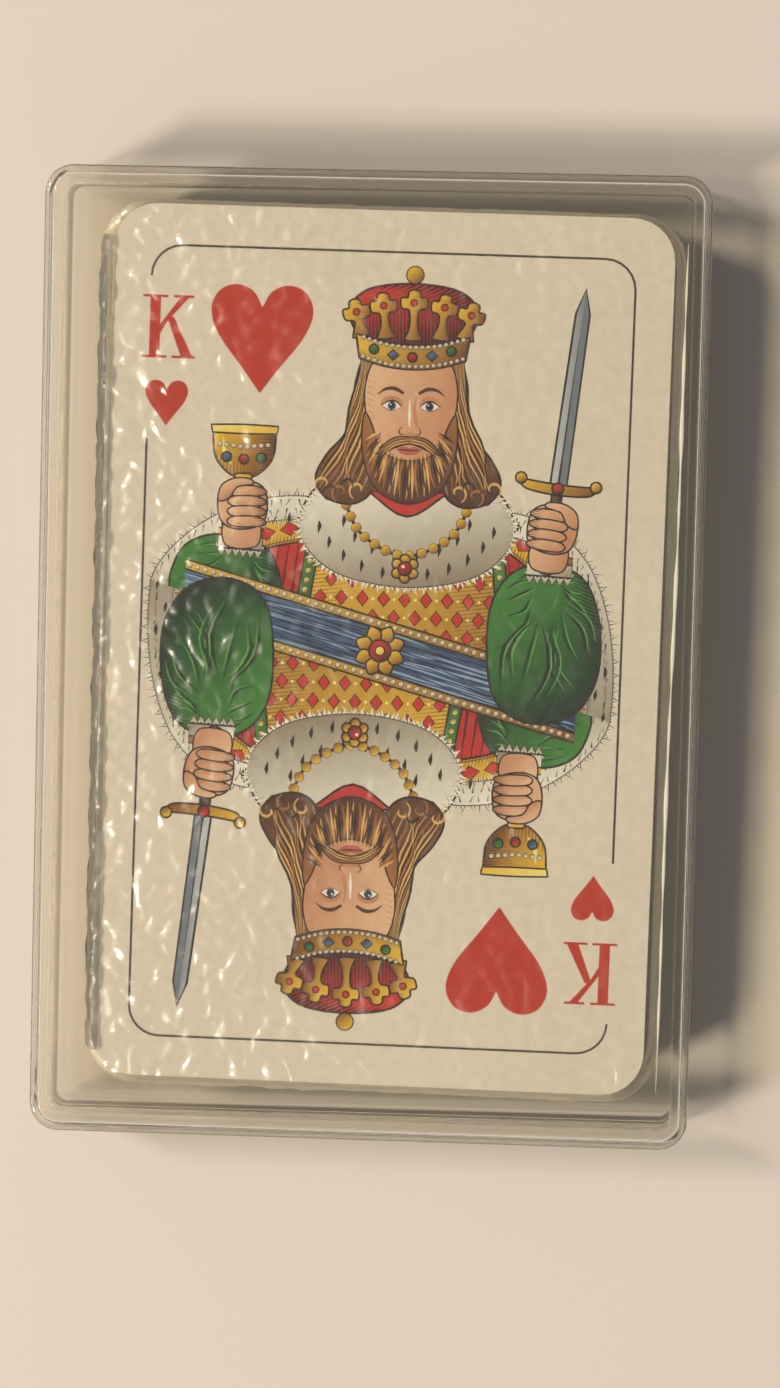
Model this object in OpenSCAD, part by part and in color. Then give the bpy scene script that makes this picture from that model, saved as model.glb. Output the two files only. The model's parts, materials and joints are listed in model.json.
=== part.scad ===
// A deck of thirty-two playing cards, welded in clear film and kept in a clear case with a slip-over lid.
// Millimetres, +Z up. The origin is the centre of the case's underside; the top card reads upright along +Y.

/* [Cards] */
// Width of a card
card_w = 58; // [52:0.5:66]
// Length of a card
card_l = 91; // [84:0.5:104]
// Thickness of a card
card_t = 0.28; // [0.2:0.01:0.4]
// Radius of a card's corners
card_r = 4.5; // [2:0.1:8]

/* [Film wrap] */
// Thickness of the film
film_t = 0.05; // [0.03:0.01:0.12]
// Slack of the film around the edges of the deck
film_slack = 0.7; // [0.3:0.1:1.5]
// Width of the welded fin along the left side
fin_w = 0.9; // [0.4:0.1:1.5]

/* [Deck in the tray] */
// How far the wrapped deck lies turned in the tray, in degrees clockwise
deck_turn = 0.7; // [0:0.1:2]
// Room between the wrapped deck and the tray's left wall
room_left = 2.7; // [0.3:0.1:6]
// Room between the wrapped deck and the tray's right wall
room_right = 1.1; // [0.3:0.1:6]
// Room between the wrapped deck and the tray's far wall
room_far = 1.2; // [0.3:0.1:6]
// Room between the wrapped deck and the tray's near wall
room_near = 2.8; // [0.3:0.1:6]
// Room between the wrapped deck and the lid
headroom = 0.65; // [0.2:0.05:2]

/* [Case] */
// Thickness of the tray's floor
floor_t = 1; // [0.6:0.05:2]
// Thickness of the tray's collar, which the lid slips over
collar_t = 0.85; // [0.6:0.05:1.6]
// Height of the tray's shoulder, which the lid comes down on
shoulder_h = 4.6; // [3:0.1:6]
// How far the collar stops short of the underside of the lid's top
collar_drop = 1.2; // [0.3:0.1:3]
// Gap between the collar and the lid
fit_gap = 0.1; // [0.05:0.01:0.3]
// Thickness of the lid's walls
lid_wall = 0.8; // [0.6:0.05:1.6]
// Thickness of the lid's top
lid_top = 1; // [0.7:0.05:2]
// Radius of the case's upright corners
case_r = 3; // [2:0.1:3.8]
// Radius of the tray's inner corners
tray_r = 0.5; // [0.3:0.1:1.2]
// Rounding of the outer edges of the lid's top and the tray's underside
edge_r = 0.6; // [0.3:0.05:0.7]

/* [Hidden] */
$fn = 48;

suits = ["clubs", "spades", "diamonds", "hearts"];
ranks = ["ace", "seven", "eight", "nine", "ten", "jack", "queen", "king"];
// From the bottom of the deck to the top
cards = [for (suit = suits) for (rank = ranks) str(rank, "_of_", suit)];

// The wrapped deck, with the fin on its left
wrap_w = card_w + 2 * (film_slack + film_t);
wrap_l = card_l + 2 * (film_slack + film_t);
wrap_r = card_r + film_slack + film_t;
pack_w = wrap_w + fin_w;
span_x = pack_w * cos(deck_turn) + wrap_l * sin(deck_turn);
span_y = wrap_l * cos(deck_turn) + pack_w * sin(deck_turn);

// Heights above the surface that the case stands on
deck_h = len(cards) * card_t;
deck_z = floor_t + film_t;
seam_z = deck_z + deck_h / 2;
wrap_top_z = deck_z + deck_h + film_t;
lid_under_z = wrap_top_z + headroom;
case_h = lid_under_z + lid_top;
collar_top_z = lid_under_z - collar_drop;

// The tray's hollow, the collar round it and the lid over that
inner_w = room_left + span_x + room_right;
inner_l = room_near + span_y + room_far;
collar_w = inner_w + 2 * collar_t;
collar_l = inner_l + 2 * collar_t;
lid_inner_w = collar_w + 2 * fit_gap;
lid_inner_l = collar_l + 2 * fit_gap;
case_w = lid_inner_w + 2 * lid_wall;
case_l = lid_inner_l + 2 * lid_wall;
lid_inner_r = case_r - lid_wall;
collar_r = lid_inner_r - fit_gap;

// Where the middle of the wrapped deck lies
pack_x = (room_left - room_right) / 2;
pack_y = (room_near - room_far) / 2;

clear_plastic = [0.86, 0.84, 0.76, 0.4];
clear_film = [0.95, 0.95, 0.9, 0.3];
card_stock = [0.93, 0.91, 0.84];

// How far a cut runs past the face that it opens
past = 1;
// Facets round a slab's corners and edges
slab_fn = 32;

module rounded_rect(w, l, r) {
    square([w - 2 * r, l], center = true);
    square([w, l - 2 * r], center = true);
    for (x = [-1, 1], y = [-1, 1]) translate([x * (w / 2 - r), y * (l / 2 - r)]) circle(r);
}

// A slab with upright corners of radius r, its top edge rounded to radius e
module soft_slab(w, l, h, r, e) {
    hull() for (x = [-1, 1], y = [-1, 1]) translate([x * (w / 2 - r), y * (l / 2 - r), 0]) {
        cylinder(h = h - e, r = r, $fn = slab_fn);
        translate([0, 0, h - e]) rotate_extrude($fn = slab_fn) translate([r - e, 0]) circle(e, $fn = slab_fn);
    }
}

// Places what is centred on the deck where the deck lies in the tray
module at_deck() {
    translate([pack_x, pack_y, 0]) rotate(-deck_turn) translate([fin_w / 2, 0, 0]) children();
}

module tray() color(clear_plastic) difference() {
    union() {
        translate([0, 0, shoulder_h]) mirror([0, 0, 1]) soft_slab(case_w, case_l, shoulder_h, case_r, edge_r);
        translate([0, 0, floor_t]) linear_extrude(collar_top_z - floor_t)
            rounded_rect(collar_w, collar_l, collar_r);
    }
    translate([0, 0, floor_t]) linear_extrude(case_h) rounded_rect(inner_w, inner_l, tray_r);
}

module lid() color(clear_plastic) difference() {
    translate([0, 0, shoulder_h]) soft_slab(case_w, case_l, case_h - shoulder_h, case_r, edge_r);
    translate([0, 0, shoulder_h - past]) linear_extrude(lid_under_z - shoulder_h + past)
        rounded_rect(lid_inner_w, lid_inner_l, lid_inner_r);
}

module card(place) color(card_stock) at_deck() translate([0, 0, deck_z + place * card_t])
    linear_extrude(card_t) rounded_rect(card_w, card_l, card_r);

// One half of the film: a sheet, a wall from the sheet to the weld at z = 0, and half of the fin
module film_half(h) {
    difference() {
        linear_extrude(h) rounded_rect(wrap_w, wrap_l, wrap_r);
        translate([0, 0, -past]) linear_extrude(h - film_t + past)
            rounded_rect(wrap_w - 2 * film_t, wrap_l - 2 * film_t, wrap_r - film_t);
    }
    translate([-wrap_w / 2 - fin_w, -(wrap_l / 2 - wrap_r), 0])
        cube([fin_w + film_t / 2, wrap_l - 2 * wrap_r, film_t]);
}

module wrap_lower() color(clear_film) at_deck() translate([0, 0, seam_z]) mirror([0, 0, 1])
    film_half(seam_z - floor_t);

module wrap_upper() color(clear_film) at_deck() translate([0, 0, seam_z])
    film_half(wrap_top_z - seam_z);

tray();
wrap_lower();
for (place = [0 : len(cards) - 1]) card(place);
wrap_upper();
lid();
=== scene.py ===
import json
import math

import bpy
import numpy as np
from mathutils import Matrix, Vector
from mathutils.geometry import delaunay_2d_cdt


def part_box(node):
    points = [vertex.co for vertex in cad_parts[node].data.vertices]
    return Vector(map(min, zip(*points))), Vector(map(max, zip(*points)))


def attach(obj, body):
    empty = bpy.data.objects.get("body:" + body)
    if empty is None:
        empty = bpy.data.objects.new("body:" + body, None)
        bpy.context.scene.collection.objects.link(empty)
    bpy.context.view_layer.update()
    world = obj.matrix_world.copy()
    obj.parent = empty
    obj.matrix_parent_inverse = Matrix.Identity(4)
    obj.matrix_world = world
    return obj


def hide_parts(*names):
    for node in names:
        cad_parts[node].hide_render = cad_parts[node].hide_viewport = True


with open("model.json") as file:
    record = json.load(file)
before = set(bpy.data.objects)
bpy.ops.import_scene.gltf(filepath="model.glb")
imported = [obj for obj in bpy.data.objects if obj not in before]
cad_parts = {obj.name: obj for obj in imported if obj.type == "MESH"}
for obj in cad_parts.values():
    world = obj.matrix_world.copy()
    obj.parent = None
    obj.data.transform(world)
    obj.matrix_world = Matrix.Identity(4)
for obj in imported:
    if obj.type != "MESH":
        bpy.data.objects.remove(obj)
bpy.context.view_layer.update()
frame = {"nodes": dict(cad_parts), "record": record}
mm = 0.001
scene = bpy.context.scene
scene.view_settings.view_transform = "Standard"
print("frame loaded:", len(frame["nodes"]), "nodes")


# Small helpers for meshes and node trees

sharpFrom = math.radians(38)  # edges sharper than this stay sharp on a smooth piece


def newPiece(name, verts, faces, material, smooth=False):
    mesh = bpy.data.meshes.new(name)
    mesh.from_pydata([tuple(v) for v in verts], [], [tuple(f) for f in faces])
    mesh.materials.append(material)
    mesh.update()
    if smooth:
        mesh.polygons.foreach_set("use_smooth", [True] * len(mesh.polygons))
        mesh.set_sharp_from_angle(angle=sharpFrom)
    piece = bpy.data.objects.new(name, mesh)
    scene.collection.objects.link(piece)
    return piece


def tubeFaces(rows, count):
    # a closed tube whose rows of points run along it
    faces = []
    for row in range(rows):
        after = (row + 1) % rows
        for k in range(count - 1):
            faces.append((row * count + k, row * count + k + 1, after * count + k + 1, after * count + k))
    faces.append(tuple(row * count for row in range(rows)))
    faces.append(tuple(row * count + count - 1 for row in reversed(range(rows))))
    return faces


def seat(piece, body, slot, *nodes):
    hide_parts(*nodes)
    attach(piece, body)


def feed(tree, node, values):
    # a socket is linked to the input, anything else is set on it
    for name, value in values.items():
        if isinstance(value, bpy.types.NodeSocket):
            tree.links.new(value, node.inputs[name])
        else:
            node.inputs[name].default_value = value


def wire(tree, kind, values=None, give=0, **settings):
    # adds a node, feeds its inputs and gives one of its outputs
    node = tree.nodes.new(kind)
    for name, value in settings.items():
        setattr(node, name, value)
    feed(tree, node, values or {})
    return node.outputs[give]


def ranged(tree, value, start, end):
    return wire(tree, "ShaderNodeMapRange", {"Value": value, "From Min": start[0], "From Max": start[1],
                                             "To Min": end[0], "To Max": end[1]})


def objectNoise(tree, scale, detail, **more):
    place = wire(tree, "ShaderNodeTexCoord", give="Object")
    return wire(tree, "ShaderNodeTexNoise", {"Vector": place, "Scale": scale, "Detail": detail, **more})


def newMaterial(name):
    material = bpy.data.materials.new(name)
    material.use_nodes = True
    tree = material.node_tree
    return material, tree, tree.nodes["Principled BSDF"]


def showSurface(tree, surface):
    feed(tree, tree.nodes["Material Output"], {"Surface": surface})


def mixed(tree, share, first, second):
    return wire(tree, "ShaderNodeMixShader", {"Fac": share, 1: first, 2: second})


def letLightPass(tree, surface, passing):
    # lamps and bounced light go straight through
    path = wire(tree, "ShaderNodeLightPath").node.outputs
    for ray in ("Is Diffuse Ray", "Is Shadow Ray"):
        surface = mixed(tree, path[ray], surface, passing)
    showSurface(tree, surface)


def linear(red, green, blue):
    return tuple(c / 12.92 if c <= 0.04045 else ((c + 0.055) / 1.055) ** 2.4
                 for c in (red / 255, green / 255, blue / 255))


# Camera, light and floor

cameraSettings = {
    "place": (21.32, 20.10, 380.0),  # millimetres
    "turn": (-3.597, 3.012, 1.349),  # degrees
    "lens": 92.58,
    "sensor": 36.0,
    "nearest": 0.01,  # metres
}

lampSettings = {
    "lamps": [  # name, direction to the lamp, distance in metres, side in metres, watts
        ("lowLamp", (-1.08, -0.55, 1.0), 2.1, 0.32, 36.0),
        ("highLamp", (-1.12, 0.38, 1.0), 2.1, 0.32, 23.0),
    ],
    "warmth": (1.0, 0.92, 0.8),
    "fillColour": (0.93, 0.95, 1.0),
    "fillStrength": 0.18,
    "roomColour": (0.80, 0.73, 0.66),  # what the lens and the clear plastic see
    "wallsToCeiling": (0.3, 0.75),  # gloss throws back pale walls, and a dim ceiling above them
    "wallsAndCeiling": (0.9, 0.06),
}

floorSettings = {
    "half": 1.5,
    "drop": 0.05 * mm,
    "colour": (0.73, 0.65, 0.58),
    "darkAndLight": (0.96, 1.03),
    "cloudScale": 9.0,
}


def placeCamera():
    data = bpy.data.cameras.new("camera")
    data.sensor_width = cameraSettings["sensor"]
    data.lens = cameraSettings["lens"]
    data.clip_start = cameraSettings["nearest"]
    camera = bpy.data.objects.new("camera", data)
    camera.location = [c * mm for c in cameraSettings["place"]]
    camera.rotation_euler = [math.radians(a) for a in cameraSettings["turn"]]
    scene.collection.objects.link(camera)
    scene.camera = camera


def placeLamps():
    for name, direction, distance, side, watts in lampSettings["lamps"]:
        data = bpy.data.lights.new(name, "AREA")
        data.size = side
        data.energy = watts
        data.color = lampSettings["warmth"]
        lamp = bpy.data.objects.new(name, data)
        away = Vector(direction).normalized()
        lamp.location = away * distance
        lamp.rotation_euler = away.to_track_quat("Z", "Y").to_euler()
        scene.collection.objects.link(lamp)


def lightRoom():
    world = bpy.data.worlds.new("softRoom")
    world.use_nodes = True
    tree = world.node_tree
    fill = tree.nodes["Background"]
    feed(tree, fill, {"Color": (*lampSettings["fillColour"], 1), "Strength": lampSettings["fillStrength"]})
    room = wire(tree, "ShaderNodeBackground", {"Color": (*lampSettings["roomColour"], 1)})
    path = wire(tree, "ShaderNodeLightPath").node.outputs
    direct = wire(tree, "ShaderNodeMath", {0: path["Is Camera Ray"], 1: path["Is Transmission Ray"]},
                  operation="MAXIMUM")
    straight = wire(tree, "ShaderNodeMath", {0: path["Glossy Depth"], 1: 0.5}, operation="LESS_THAN")
    place = wire(tree, "ShaderNodeTexCoord", give="Generated")
    height = wire(tree, "ShaderNodeSeparateXYZ", {"Vector": place}, give="Z")
    walls = ranged(tree, height, lampSettings["wallsToCeiling"], lampSettings["wallsAndCeiling"])
    seen = wire(tree, "ShaderNodeMix", {"Factor": straight, "A": walls, "B": direct}, data_type="FLOAT")
    sky = mixed(tree, seen, fill.outputs["Background"], room)
    feed(tree, tree.nodes["World Output"], {"Surface": sky})
    scene.world = world


def floorPaper():
    material, tree, shader = newMaterial("floorPaper")
    tint = wire(tree, "ShaderNodeValToRGB", {"Fac": objectNoise(tree, floorSettings["cloudScale"], 2.0)})
    for element, share in zip(tint.node.color_ramp.elements, floorSettings["darkAndLight"]):
        element.color = (*[c * share for c in floorSettings["colour"]], 1)
    feed(tree, shader, {"Base Color": tint, "Roughness": 0.7, "Specular IOR Level": 0.2})
    return material


def layFloor():
    half = floorSettings["half"]
    low = -floorSettings["drop"]
    corners = [(-half, -half, low), (half, -half, low), (half, half, low), (-half, half, low)]
    newPiece("floor", corners, [(0, 1, 2, 3)], floorPaper())


placeCamera()
placeLamps()
lightRoom()
layFloor()
print("camera, lamps and floor placed")


# Clear case: tray and lid, each one closed shell of rounded rings

caseSettings = {
    "floor": 1.0,  # thicknesses and heights in millimetres
    "collarWall": 0.85,
    "collarGap": 0.1,
    "shoulder": 4.6,
    "lidWall": 0.8,
    "lidTop": 1.0,
    "collarDrop": 1.2,
    "cornerRadius": 3.0,
    "trayRadius": 0.5,
    "edgeRadius": 0.6,
    "innerRadius": 0.35,
    "rimRadius": 0.12,
    "cornerSteps": 12,
    "filletSteps": 5,
    "lidLift": 0.03,  # the lid's rim stays this far off the shoulder, so the two faces don't coincide
    "unbent": 0.07,  # share of light that passes without bending
    "tint": (0.98, 0.975, 0.945),
    "haze": (0.004, 0.02),  # roughness where it is clean and where it was handled
    "handling": (0.45, 0.75),  # span of the noise between the two
    "handlingScale": 60.0,
    "plateClear": (0.96, 0.955, 0.925),  # what one face of a flat plate lets through
    "sideClear": (0.93, 0.925, 0.89),  # the same for a side wall
    "endClear": (0.67, 0.665, 0.645),  # and for an end wall, which the lamps meet at a grazing angle
}
smallestRadius = 0.02
plateTilt = 0.8  # a face whose normal rises more than this belongs to a plate


def clearPlastic(name, passed):
    material, tree, shader = newMaterial(name)
    handling = objectNoise(tree, caseSettings["handlingScale"], 4.0, Roughness=0.6)
    haze = ranged(tree, handling, caseSettings["handling"], caseSettings["haze"])
    feed(tree, shader, {"Base Color": (*caseSettings["tint"], 1), "Transmission Weight": 1.0, "IOR": 1.5,
                        "Roughness": haze})
    passing = wire(tree, "ShaderNodeBsdfTransparent", {"Color": (*passed, 1)})
    letLightPass(tree, mixed(tree, caseSettings["unbent"], shader.outputs["BSDF"], passing), passing)
    return material


def roundedRing(width, length, radius, steps):
    radius = max(radius, smallestRadius)
    turns = np.linspace(0, math.pi / 2, steps)
    corners = []
    for quarter, (sx, sy) in enumerate([(1, 1), (-1, 1), (-1, -1), (1, -1)]):
        angles = turns + quarter * math.pi / 2
        x = sx * (width / 2 - radius) + radius * np.cos(angles)
        y = sy * (length / 2 - radius) + radius * np.sin(angles)
        corners.append(np.stack([x, y], 1))
    return np.vstack(corners)


def fillet(insetFrom, zFrom, insetTo, zTo, bulge):
    # quarter round between two profile points, bulging sideways first ("side") or upwards first ("up")
    turns = np.linspace(0, math.pi / 2, caseSettings["filletSteps"])
    if bulge == "side":
        shares = [(1 - math.cos(a), math.sin(a)) for a in turns]
    else:
        shares = [(math.sin(a), 1 - math.cos(a)) for a in turns]
    return [(insetFrom + (insetTo - insetFrom) * s, zFrom + (zTo - zFrom) * z) for s, z in shares]


def shellFromProfile(name, width, length, profile, plastics):
    # profile holds (inset from the outer wall, height) from the first cap to the last one
    steps = caseSettings["cornerSteps"]
    count = 4 * steps
    verts, faces = [], []
    for inset, height in profile:
        radius = max(caseSettings["cornerRadius"] - inset, caseSettings["trayRadius"])
        ring = roundedRing(width - 2 * inset, length - 2 * inset, radius, steps)
        verts += [(x * mm, y * mm, height * mm) for x, y in ring]
    for level in range(len(profile) - 1):
        low, high = level * count, (level + 1) * count
        for k in range(count):
            after = (k + 1) % count
            faces.append((low + k, low + after, high + after, high + k))
    last = (len(profile) - 1) * count
    faces.append(tuple(range(count - 1, -1, -1)))
    faces.append(tuple(range(last, last + count)))
    shell = newPiece(name, verts, faces, plastics[0], smooth=True)
    for plastic in plastics[1:]:
        shell.data.materials.append(plastic)
    for polygon in shell.data.polygons:
        x, y, z = (abs(share) for share in polygon.normal)
        polygon.material_index = 0 if z > plateTilt else (1 if x > y else 2)
    return shell


def buildCase():
    plastics = [clearPlastic("clear" + kind.capitalize(), caseSettings[kind + "Clear"])
                for kind in ("plate", "side", "end")]
    c = caseSettings
    low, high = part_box("lid")
    width, length = (high.x - low.x) / mm, (high.y - low.y) / mm
    top = high.z / mm
    under = top - c["lidTop"]
    collarInset = c["lidWall"] + c["collarGap"]
    innerInset = collarInset + c["collarWall"]
    collarTop = under - c["collarDrop"]
    edge, inner, rim = c["edgeRadius"], c["innerRadius"], c["rimRadius"]
    trayProfile = fillet(edge, 0, 0, edge, "up")
    trayProfile += fillet(0, c["shoulder"] - rim, rim, c["shoulder"], "side")
    trayProfile += [(collarInset, c["shoulder"])]
    trayProfile += fillet(collarInset, collarTop - rim, collarInset + rim, collarTop, "side")
    trayProfile += fillet(innerInset - rim, collarTop, innerInset, collarTop - rim, "up")
    trayProfile += fillet(innerInset, c["floor"] + inner, innerInset + inner, c["floor"], "side")
    tray = shellFromProfile("tray_shell", width, length, trayProfile, plastics)
    lidRim = c["shoulder"] + c["lidLift"]
    lidProfile = fillet(c["lidWall"] + inner, under, c["lidWall"], under - inner, "up")
    lidProfile += fillet(c["lidWall"], lidRim + rim, c["lidWall"] - rim, lidRim, "side")
    lidProfile += fillet(rim, lidRim, 0, lidRim + rim, "up")
    lidProfile += fillet(0, top - edge, edge, top, "side")
    lid = shellFromProfile("lid_shell", width, length, lidProfile, plastics)
    seat(tray, "tray", "case_plastic", "tray")
    seat(lid, "lid", "case_plastic", "lid")
    print("case built:", len(tray.data.polygons) + len(lid.data.polygons), "faces")


buildCase()


# Where the deck lies, taken from the top card

deckSettings = {
    "width": 58.0,
    "length": 91.0,
    "corner": 4.5,
    "turn": -0.7,  # degrees
}
topLow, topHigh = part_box("king_of_hearts")
deckMiddle = ((topLow.x + topHigh.x) / 2 / mm, (topLow.y + topHigh.y) / 2 / mm)


def toWorld(points, heights):
    # deck millimetres to metres in the frame
    points = np.asarray(points, float)
    turn = math.radians(deckSettings["turn"])
    x = points[:, 0] * math.cos(turn) - points[:, 1] * math.sin(turn) + deckMiddle[0]
    y = points[:, 0] * math.sin(turn) + points[:, 1] * math.cos(turn) + deckMiddle[1]
    return np.stack([x, y, np.broadcast_to(heights, x.shape)], 1) * mm


# Film wrap: a skin folded over the deck, crinkled by a node tree

filmSettings = {
    "slack": 0.75,  # from the card's edge to the film's outside
    "tightSlack": 0.3,  # the same at the far side
    "looseSlack": 1.15,  # and at the right side
    "sealedSlack": (0.4, 1.35),  # and at the left side, where two layers are sealed, near end and far end
    "sealShadeFrom": (-28.0, -29.1),  # the sealed strip, which gets the grey painted shade, lies left of this, near end and far end
    "sealShadeReach": 42.5,  # half the strip's length
    "weldAt": (30.32, 9.75),  # the weld bead along the right side, pale as a painted highlight: place across the deck and height
    "weldHalf": 0.24,
    "weldSpan": (-45.0, 43.0),
    "weldSteps": 150,
    "weldWaves": ((0.2, 0.31, 0), (0.18, 0.83, 1)),  # height, rate and shift of each wave
    "weldWander": ((0.06, 0.12, 0),),
    "weldSides": 8,
    "corner": 5.25,
    "bend": 0.9,  # radius where the top sheet folds down
    "fin": 0.9,
    "finSteps": 120,
    "finStock": 0.04,
    "finHeights": (0.005, -0.045),  # of its two layers, from the seam
    "finWaves": ((0.1, 0.9, 0), (0.07, 2.3, 1)),
    "finLift": ((0.12, 0.7, 0),),
    "finTaper": 2.5,
    "skin": 0.025,  # half the film's thickness
    "topStep": 0.3,
    "bottomStep": 1.3,
    "crinkleHeight": 0.62,
    "sideHeight": 0.4,
    "loose": (0.5, 0.62, 0.2),  # share of the crinkle everywhere, more at the left, and more at both ends
    "endReach": 9,  # how far the ends reach in
    "seamReach": 0.8,  # the crinkle fades out this far above the weld
    "crinkleSize": 2.05,
    "layers": [(1.0, 0.5, True), (0.45, 0.35, True), (2.2, 0.15, False)],  # scale, weight, creased
    "seed": 4.0,
}


def clearFilm():
    material, tree, shader = newMaterial("clearFilm")
    tree.nodes.remove(shader)
    passing = wire(tree, "ShaderNodeBsdfTransparent", {"Color": (0.975, 0.972, 0.955, 1)})
    gloss = wire(tree, "ShaderNodeBsdfGlossy", {"Color": (0.95, 0.95, 0.93, 1), "Roughness": 0.22})
    glance = wire(tree, "ShaderNodeFresnel", {"IOR": 1.8})
    letLightPass(tree, mixed(tree, glance, passing, gloss), passing)
    return material


def paleWeldHighlight():
    material, tree, shader = newMaterial("paleWeldHighlight")
    # pale cream is a painted highlight: the bright line of light along the film's right edge
    feed(tree, shader, {"Base Color": (0.88, 0.84, 0.72, 1), "Roughness": 0.25})
    return material


def sealedFilmShade():
    # two sheets sealed together; their dark grey is painted shade, standing in for the shade and dark
    # reflection beside the deck's left edge
    material, tree, shader = newMaterial("sealedFilmShade")
    feed(tree, shader, {"Base Color": (0.2, 0.19, 0.17, 1), "Roughness": 0.22})
    passing = wire(tree, "ShaderNodeBsdfTransparent", {"Color": (0.9, 0.89, 0.87, 1)})
    showSurface(tree, mixed(tree, 0.5, shader.outputs["BSDF"], passing))
    return material


def alongDeck(ends, y):
    # a value that changes evenly from the near end of the deck to the far end
    half = deckSettings["length"] / 2
    return np.interp(y, (-half, half), ends)


def filmSkin(name, step, topZ, seamZ, material):
    # a grid over the deck whose border is folded down (or up) to the weld
    s = filmSettings
    halfW = deckSettings["width"] / 2 + s["slack"]
    halfL = deckSettings["length"] / 2 + s["slack"]
    core = np.array([halfW - s["corner"], halfL - s["corner"]])
    drop = abs(topZ - seamZ)
    arc = s["bend"] * math.pi / 2
    flat = s["corner"] - s["bend"]
    reach = flat + arc + drop - s["bend"]
    countX, countY = (int(round(2 * (half + reach) / step)) + 1 for half in core)
    gx, gy = np.meshgrid(np.linspace(-1, 1, countX) * (core[0] + reach),
                         np.linspace(-1, 1, countY) * (core[1] + reach))
    spots = np.stack([gx.ravel(), gy.ravel()], 1)
    beyond = np.maximum(np.abs(spots) - core, 0) * np.sign(spots)
    far = np.linalg.norm(beyond, axis=1)
    outward = beyond / np.maximum(far, 1e-9)[:, None]
    cut = far > reach
    far = np.minimum(far, reach)
    angle = np.clip((far - flat) / s["bend"], 0, math.pi / 2)
    out = np.where(far < flat, far, flat + s["bend"] * np.sin(angle))
    down = s["bend"] * (1 - np.cos(angle)) + np.maximum(far - flat - arc, 0)
    place = np.clip(spots, -core, core) + outward * out[:, None]
    place[:, 0] += (s["looseSlack"] - s["slack"]) * np.clip(place[:, 0] / core[0], 0, 1)
    leftSlack = alongDeck(s["sealedSlack"], place[:, 1])
    place[:, 0] -= (leftSlack - s["slack"]) * np.clip(-place[:, 0] / core[0], 0, 1)
    place[:, 1] += (s["tightSlack"] - s["slack"]) * np.clip(place[:, 1] / core[1], 0, 1)
    verts = toWorld(place, topZ - down * np.sign(topZ - seamZ))
    faces = []
    for j in range(countY - 1):
        for i in range(countX - 1):
            a = j * countX + i
            quad = (a, a + 1, a + 1 + countX, a + countX)
            if not all(cut[k] for k in quad):
                faces.append(quad if topZ > seamZ else quad[::-1])
    used = sorted({k for f in faces for k in f})
    renumber = {k: n for n, k in enumerate(used)}
    piece = newPiece(name, verts[used], [tuple(renumber[k] for k in f) for f in faces], material)
    share = np.clip((far - flat) / arc, 0, 1)[used]
    seamFade = np.clip((reach - far) / s["seamReach"], 0, 1)[used]
    left = np.clip(-place[used, 0] / halfW, 0, 1)
    rim = np.clip(1 - (core[1] + flat - np.abs(place[used, 1])) / s["endReach"], 0, 1)
    everywhere, atLeft, atEnds = s["loose"]
    topLoose = np.clip(everywhere + atLeft * left ** 1.3 + atEnds * rim, 0, 1)
    onTop = (1 - share) * topLoose * s["crinkleHeight"]
    onSide = share * s["sideHeight"] * (0.5 + 0.5 * left)
    slack = piece.data.attributes.new("slack", "FLOAT", "POINT")
    slack.data.foreach_set("value", ((onTop + onSide) * seamFade).astype(np.float32))
    return piece


def crinkleTree(material):
    tree = bpy.data.node_groups.new("filmCrinkle", "GeometryNodeTree")
    interface = tree.interface
    interface.new_socket("Geometry", in_out="INPUT", socket_type="NodeSocketGeometry")
    keys = [interface.new_socket(name, in_out="INPUT", socket_type="NodeSocketFloat").identifier
            for name in ("Crinkle size", "Seed", "Height share")]
    interface.new_socket("Geometry", in_out="OUTPUT", socket_type="NodeSocketGeometry")

    def maths(operation, first, second=0.5):
        return wire(tree, "ShaderNodeMath", {0: first, 1: second}, operation=operation)

    start = wire(tree, "NodeGroupInput").node.outputs
    spot = wire(tree, "GeometryNodeInputPosition")
    place = wire(tree, "ShaderNodeVectorMath", {0: spot, 1: start["Crinkle size"]}, operation="DIVIDE")
    total = None
    for scale, weight, creased in filmSettings["layers"]:
        noise = wire(tree, "ShaderNodeTexNoise",
                     {"Vector": place, "W": start["Seed"], "Scale": scale, "Detail": 0.0, "Distortion": 0.4},
                     noise_dimensions="4D")
        level = ranged(tree, noise, (0.27, 0.73), (0.0, 1.0))
        if creased:
            level = maths("ABSOLUTE", maths("SUBTRACT", level, 0.5))
        weighed = maths("MULTIPLY", level, 2.0 * weight if creased else weight)
        total = weighed if total is None else maths("ADD", total, weighed)
    slack = wire(tree, "GeometryNodeInputNamedAttribute", {"Name": "slack"}, data_type="FLOAT")
    rise = maths("MULTIPLY", maths("MINIMUM", total, 1.0), slack)
    metres = maths("MULTIPLY", rise, start["Height share"])
    normal = wire(tree, "GeometryNodeInputNormal")
    offset = wire(tree, "ShaderNodeVectorMath", {0: normal, "Scale": metres}, operation="SCALE")
    skin = wire(tree, "GeometryNodeSetPosition", {"Geometry": start["Geometry"], "Offset": offset})
    for kind in ("GeometryNodeSetShadeSmooth", "GeometryNodeRealizeInstances"):
        skin = wire(tree, kind, {"Geometry": skin})
    skin = wire(tree, "GeometryNodeSetMaterial", {"Geometry": skin, "Material": material})
    feed(tree, tree.nodes.new("NodeGroupOutput"), {"Geometry": skin})
    return tree, keys


def crinkle(piece, material):
    modifier = piece.modifiers.new("crinkle", "NODES")
    modifier.node_group, keys = crinkleTree(material)
    for key, value in zip(keys, (filmSettings["crinkleSize"] * mm, filmSettings["seed"], mm)):
        modifier[key] = value
    depsgraph = bpy.context.evaluated_depsgraph_get()
    done = bpy.data.meshes.new_from_object(piece.evaluated_get(depsgraph))
    piece.modifiers.remove(modifier)
    piece.data = done


def waves(along, terms, start=0.0):
    return sum((height * np.sin(along * rate + shift) for height, rate, shift in terms), start)


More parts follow.
